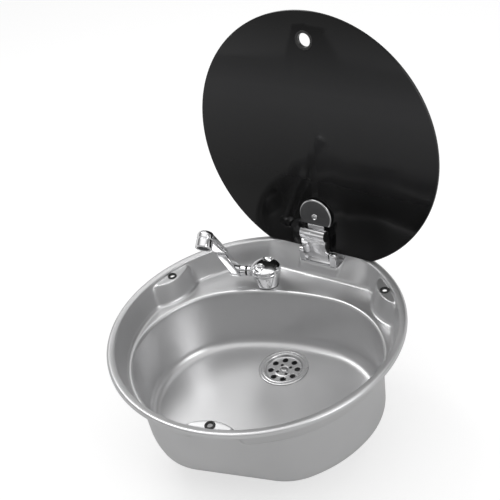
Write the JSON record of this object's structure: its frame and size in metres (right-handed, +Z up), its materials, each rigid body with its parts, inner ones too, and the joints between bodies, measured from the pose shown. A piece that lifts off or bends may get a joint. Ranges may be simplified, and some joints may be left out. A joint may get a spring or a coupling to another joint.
{
  "type": "rv sink with glass lid",
  "caption": "Round inset sink pressed from one steel sheet, with a hinged dark glass lid and a small tap whose spout folds down so that the lid can close.",
  "frame": {"origin": "on the sink's axis in the plane of the worktop, which is also the top of the three fixing tabs", "axes": "+Z up; -Y towards the front fixing tab; the lid's hinge is at the back, 16 degrees to the right of +Y"},
  "size_m": [0.4527, 0.4621, 0.5723],
  "materials": {
    "steel": "satin pressed stainless steel",
    "chrome": "polished chrome",
    "dark_glass": "dark tinted toughened glass, polished",
    "rubber": "black rubber",
    "dark_plate": "matt dark grey",
    "black_plastic": "black plastic",
    "grey_plastic": "moulded waste fitting",
    "brass": "turned brass",
    "bright_steel": "bright steel fastener",
    "ceramic": "valve cartridge"
  },
  "bodies": {
    "sink": {"sink_bowl": "steel", "rim_seal": "rubber", "lid_buffers": "rubber", "waste_flange": "chrome", "waste_screw": "bright_steel", "waste_top_seal": "rubber", "waste_gasket": "rubber", "waste_body": "grey_plastic", "hinge_base": "chrome", "hinge_pin": "bright_steel", "pin_clip": "bright_steel", "hinge_screws": "bright_steel", "hinge_nuts": "bright_steel", "friction_washers": "black_plastic", "tap_body": "chrome", "tap_gasket": "rubber", "tap_cartridge": "ceramic", "cartridge_nut": "brass", "tap_shank": "brass", "tap_washer": "bright_steel", "tap_nut": "brass", "tap_tail": "brass", "tap_stub": "chrome", "stub_ring": "rubber", "pivot_cap": "chrome"},
    "lid": {"hinge_arm": "chrome", "glass_lid": "dark_glass", "finger_grommet": "black_plastic", "clamp_disc": "chrome", "clamp_face": "dark_plate", "clamp_gaskets": "rubber", "outer_cap": "chrome", "clamp_screw": "bright_steel"},
    "knob": {"tap_spindle": "brass", "tap_knob": "chrome", "knob_index": "black_plastic"},
    "spout": {"spout_arm": "chrome", "spout_head": "chrome", "aerator": "black_plastic"}
  },
  "joints": [
    {"name": "lid_hinge", "type": "hinge", "parent": "sink", "child": "lid", "pos_m": [0.04901, 0.17091, 0.00287], "axis": [0.9613, -0.2756, 0], "range_deg": [0, 95.7]},
    {"name": "spout_fold", "type": "hinge", "parent": "sink", "child": "spout", "pos_m": [-0.0745, 0.136, -0.012], "axis": [1, 0, 0], "range_deg": [0, 55.8]},
    {"name": "knob_turn", "type": "hinge", "parent": "sink", "child": "knob", "pos_m": [-0.0265, 0.136, 0], "axis": [0, 0, 1], "range_deg": [0, 90]}
  ],
  "couplings": [
    {"joint": "spout_fold", "follows": "lid_hinge", "ratio": 0.583}
  ]
}
